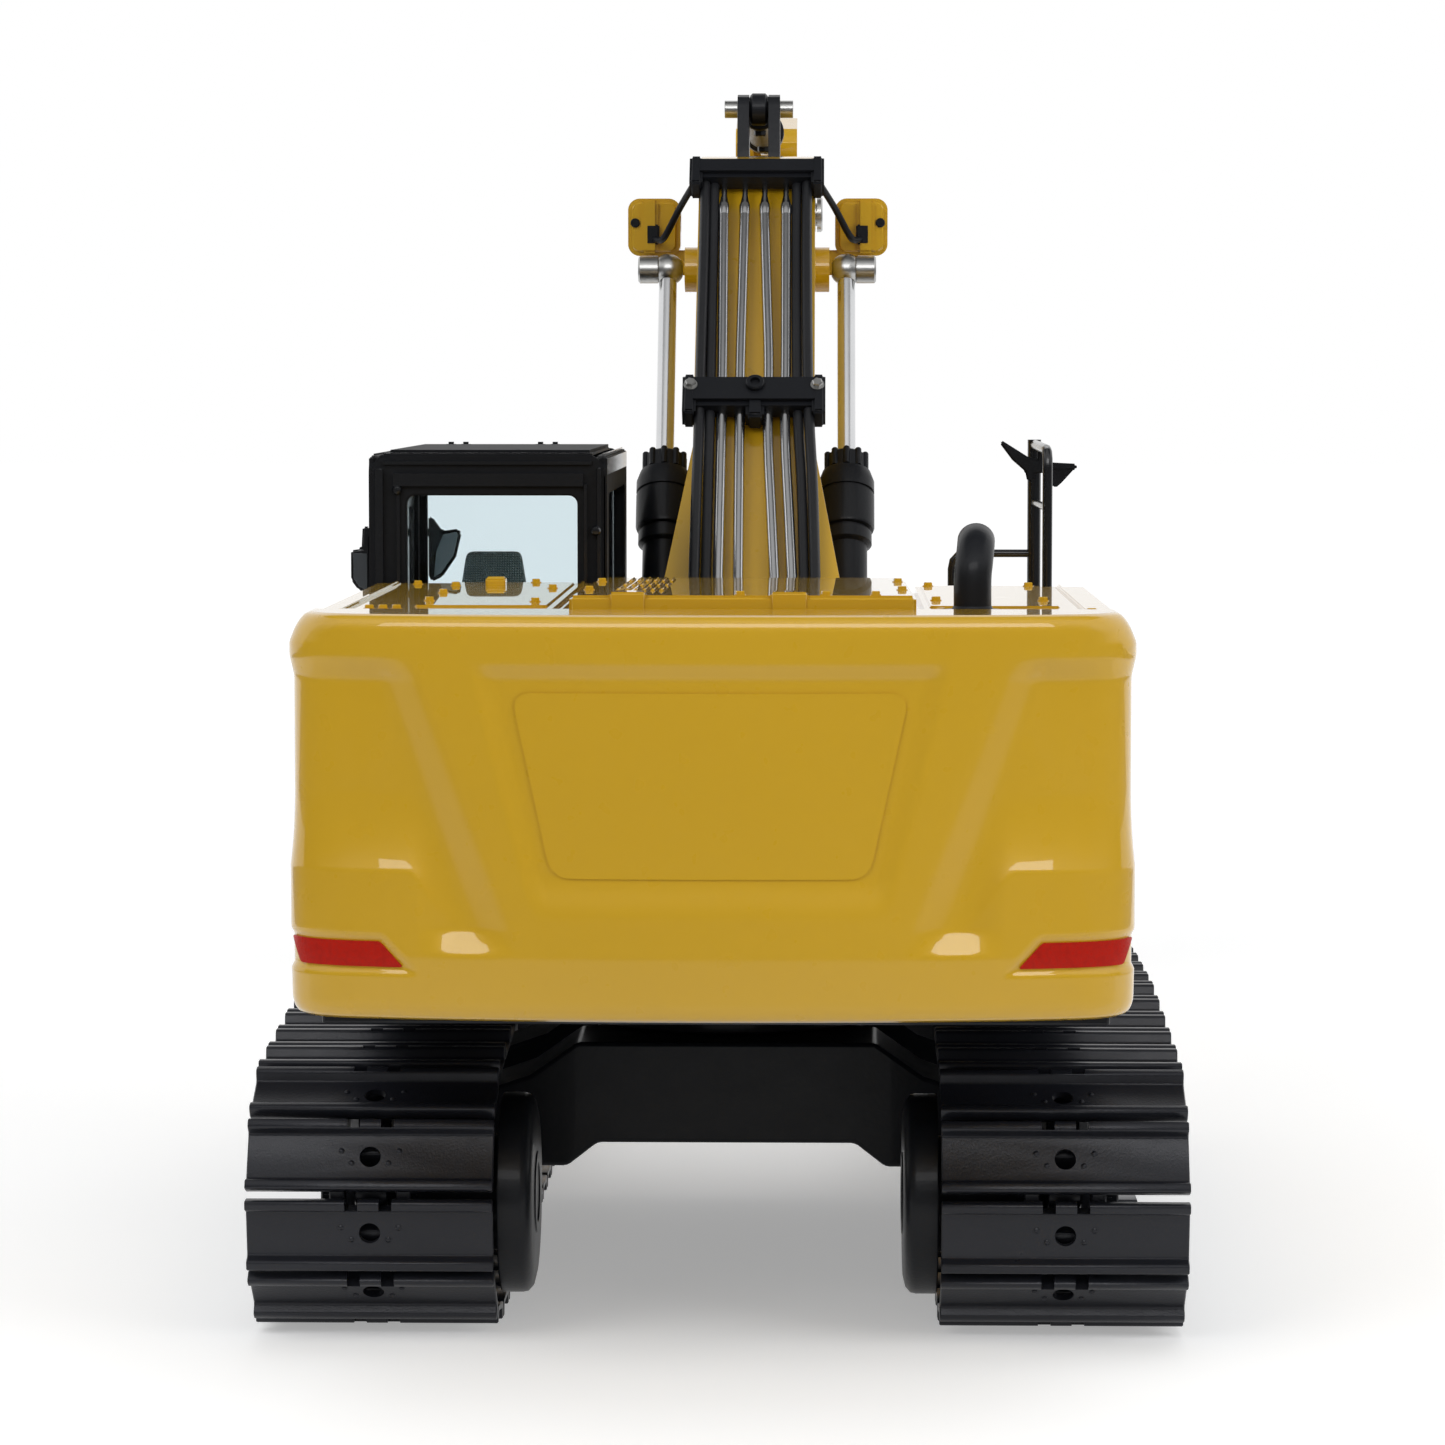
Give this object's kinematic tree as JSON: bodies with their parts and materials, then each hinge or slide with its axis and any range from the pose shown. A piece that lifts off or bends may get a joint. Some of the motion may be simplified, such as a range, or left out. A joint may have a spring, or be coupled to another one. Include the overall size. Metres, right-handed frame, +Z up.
{
  "type": "radio-controlled hydraulic excavator",
  "caption": "Tracked scale-model excavator with swinging upper body, cab, raised boom, stick, bucket and hydraulic cylinders",
  "frame": {"origin": "middle of the footprint box, on the ground under the tracks", "axes": "+X to the machine's right, +Y forward along the boom, +Z up"},
  "size_m": [0.254, 0.7783, 0.3645],
  "materials": {
    "yellow_paint": "gloss",
    "black_paint": "satin",
    "blackened_steel": "satin",
    "bright_steel": "brushed",
    "aluminium_block": "machined",
    "chrome_rod": "polished",
    "hose_rubber": "matte",
    "tinted_glass": "clear",
    "red_lens": "gloss",
    "black_plastic": "satin",
    "seat_fabric": "woven",
    "battery_sleeve": "gloss"
  },
  "bodies": {
    "chassis": {"left_track_chain": "blackened_steel", "right_track_chain": "blackened_steel", "left_final_drive": "blackened_steel", "right_final_drive": "blackened_steel", "left_track_frame": "black_paint", "right_track_frame": "black_paint", "left_roller_bank": "blackened_steel", "right_roller_bank": "blackened_steel", "lower_frame": "black_paint", "slew_ring": "black_paint"},
    "left_sprocket": {"left_sprocket": "blackened_steel"},
    "right_sprocket": {"right_sprocket": "blackened_steel"},
    "left_idler": {"left_idler": "blackened_steel"},
    "right_idler": {"right_idler": "blackened_steel"},
    "upper": {"upper_frame": "black_paint", "boom_foot_pin": "bright_steel", "counterweight": "yellow_paint", "left_reflector": "red_lens", "right_reflector": "red_lens", "left_housing": "yellow_paint", "right_housing": "yellow_paint", "battery": "battery_sleeve", "valve_block": "aluminium_block", "hydraulic_pump": "black_paint", "cab_shell": "black_plastic", "cab_glazing": "tinted_glass", "seat": "seat_fabric", "exhaust_pipe": "black_paint", "right_handrail": "black_paint", "right_mirror": "black_plastic", "left_mirror": "black_plastic"},
    "engine_hood": {"engine_hood": "yellow_paint"},
    "cab_door": {"cab_door": "black_plastic", "door_window": "tinted_glass"},
    "boom": {"boom_beam": "yellow_paint", "boom_pipe_1": "chrome_rod", "boom_pipe_2": "chrome_rod", "boom_pipe_3": "chrome_rod", "boom_pipe_4": "chrome_rod", "left_hose": "hose_rubber", "right_hose": "hose_rubber", "lower_pipe_clamp": "black_plastic", "upper_pipe_clamp": "black_plastic", "left_work_light": "yellow_paint", "right_work_light": "yellow_paint", "stick_pin": "bright_steel"},
    "left_boom_barrel": {"left_boom_cylinder_barrel": "black_paint"},
    "left_boom_rod": {"left_boom_cylinder_rod": "chrome_rod"},
    "right_boom_barrel": {"right_boom_cylinder_barrel": "black_paint"},
    "right_boom_rod": {"right_boom_cylinder_rod": "chrome_rod"},
    "stick": {"stick": "yellow_paint", "bucket_pin": "bright_steel"},
    "stick_barrel": {"stick_cylinder_barrel": "black_paint"},
    "stick_rod": {"stick_cylinder_rod": "chrome_rod"},
    "bucket": {"bucket": "yellow_paint"},
    "bucket_barrel": {"bucket_cylinder_barrel": "black_paint"},
    "bucket_rod": {"bucket_cylinder_rod": "chrome_rod"},
    "rocker": {"left_rocker": "black_paint", "right_rocker": "black_paint"},
    "bucket_link": {"bucket_link": "black_paint"}
  },
  "joints": [
    {"name": "swing", "type": "hinge", "parent": "chassis", "child": "upper", "pos_m": [0, -0.1371, 0.08], "axis": [0, 0, 1], "continuous": true},
    {"name": "left_sprocket_spin", "type": "hinge", "parent": "chassis", "child": "left_sprocket", "pos_m": [-0.0937, -0.2821, 0.037], "axis": [1, 0, 0], "continuous": true},
    {"name": "right_sprocket_spin", "type": "hinge", "parent": "chassis", "child": "right_sprocket", "pos_m": [0.0937, -0.2821, 0.037], "axis": [1, 0, 0], "continuous": true},
    {"name": "left_idler_spin", "type": "hinge", "parent": "chassis", "child": "left_idler", "pos_m": [-0.0937, 0.0079, 0.037], "axis": [1, 0, 0], "continuous": true},
    {"name": "right_idler_spin", "type": "hinge", "parent": "chassis", "child": "right_idler", "pos_m": [0.0937, 0.0079, 0.037], "axis": [1, 0, 0], "continuous": true},
    {"name": "engine_hood_lift", "type": "hinge", "parent": "upper", "child": "engine_hood", "pos_m": [0.0075, -0.3506, 0.2026], "axis": [1, 0, 0], "range_deg": [0, 70]},
    {"name": "cab_door_swing", "type": "hinge", "parent": "upper", "child": "cab_door", "pos_m": [-0.107, -0.1649, 0.165], "axis": [0, 0, 1], "range_deg": [0, 80]},
    {"name": "boom_lift", "type": "hinge", "parent": "upper", "child": "boom", "pos_m": [0.006, -0.1291, 0.1466], "axis": [1, 0, 0], "range_deg": [-42, 8]},
    {"name": "left_boom_barrel_tilt", "type": "hinge", "parent": "upper", "child": "left_boom_barrel", "pos_m": [-0.024, -0.0901, 0.1126], "axis": [1, 0, 0], "range_deg": [-43.5, 9]},
    {"name": "left_boom_rod_slide", "type": "slide", "parent": "left_boom_barrel", "child": "left_boom_rod", "axis": [0, 0.4736, 0.8807], "range_m": [-0.037, 0.0076]},
    {"name": "right_boom_barrel_tilt", "type": "hinge", "parent": "upper", "child": "right_boom_barrel", "pos_m": [0.036, -0.0901, 0.1126], "axis": [1, 0, 0], "range_deg": [-43.5, 9]},
    {"name": "right_boom_rod_slide", "type": "slide", "parent": "right_boom_barrel", "child": "right_boom_rod", "axis": [0, 0.4736, 0.8807], "range_m": [-0.037, 0.0076]},
    {"name": "stick_swing", "type": "hinge", "parent": "boom", "child": "stick", "pos_m": [0.006, 0.2989, 0.3266], "axis": [1, 0, 0], "range_deg": [-45, 8]},
    {"name": "stick_barrel_tilt", "type": "hinge", "parent": "boom", "child": "stick_barrel", "pos_m": [0.006, 0.0489, 0.3536], "axis": [1, 0, 0], "range_deg": [-2, 6]},
    {"name": "stick_rod_slide", "type": "slide", "parent": "stick_barrel", "child": "stick_rod", "axis": [0, 1, -0.0094], "range_m": [-0.0055, 0.0281]},
    {"name": "bucket_curl", "type": "hinge", "parent": "stick", "child": "bucket", "pos_m": [0.006, 0.33919, 0.09812], "axis": [1, 0, 0], "range_deg": [-60, 10]},
    {"name": "bucket_barrel_tilt", "type": "hinge", "parent": "stick", "child": "bucket_barrel", "pos_m": [0.006, 0.32688, 0.32341], "axis": [1, 0, 0], "range_deg": [-4, 1.5]},
    {"name": "bucket_rod_slide", "type": "slide", "parent": "bucket_barrel", "child": "bucket_rod", "axis": [0, 0.199, -0.98], "range_m": [-0.0058, 0.0315]},
    {"name": "rocker_swing", "type": "hinge", "parent": "stick", "child": "rocker", "pos_m": [0.006, 0.33328, 0.13161], "axis": [1, 0, 0], "range_deg": [-61, 11]},
    {"name": "bucket_link_swing", "type": "hinge", "parent": "rocker", "child": "bucket_link", "pos_m": [0.006, 0.36404, 0.14043], "axis": [1, 0, 0], "range_deg": [-11, 61]}
  ],
  "couplings": [
    {"joint": "left_idler_spin", "follows": "left_sprocket_spin", "ratio": 1},
    {"joint": "right_idler_spin", "follows": "right_sprocket_spin", "ratio": 1},
    {"joint": "left_boom_barrel_tilt", "follows": "boom_lift", "ratio": 1.02},
    {"joint": "right_boom_barrel_tilt", "follows": "boom_lift", "ratio": 1.02},
    {"joint": "left_boom_rod_slide", "follows": "boom_lift", "m_per_rad": 0.04944},
    {"joint": "right_boom_rod_slide", "follows": "boom_lift", "m_per_rad": 0.04944},
    {"joint": "stick_barrel_tilt", "follows": "stick_swing", "ratio": -0.109},
    {"joint": "stick_rod_slide", "follows": "stick_swing", "m_per_rad": -0.03492},
    {"joint": "bucket_barrel_tilt", "follows": "bucket_curl", "ratio": 0.051},
    {"joint": "bucket_rod_slide", "follows": "bucket_curl", "m_per_rad": -0.02933},
    {"joint": "rocker_swing", "follows": "bucket_curl", "ratio": 1},
    {"joint": "bucket_link_swing", "follows": "bucket_curl", "ratio": -1}
  ]
}
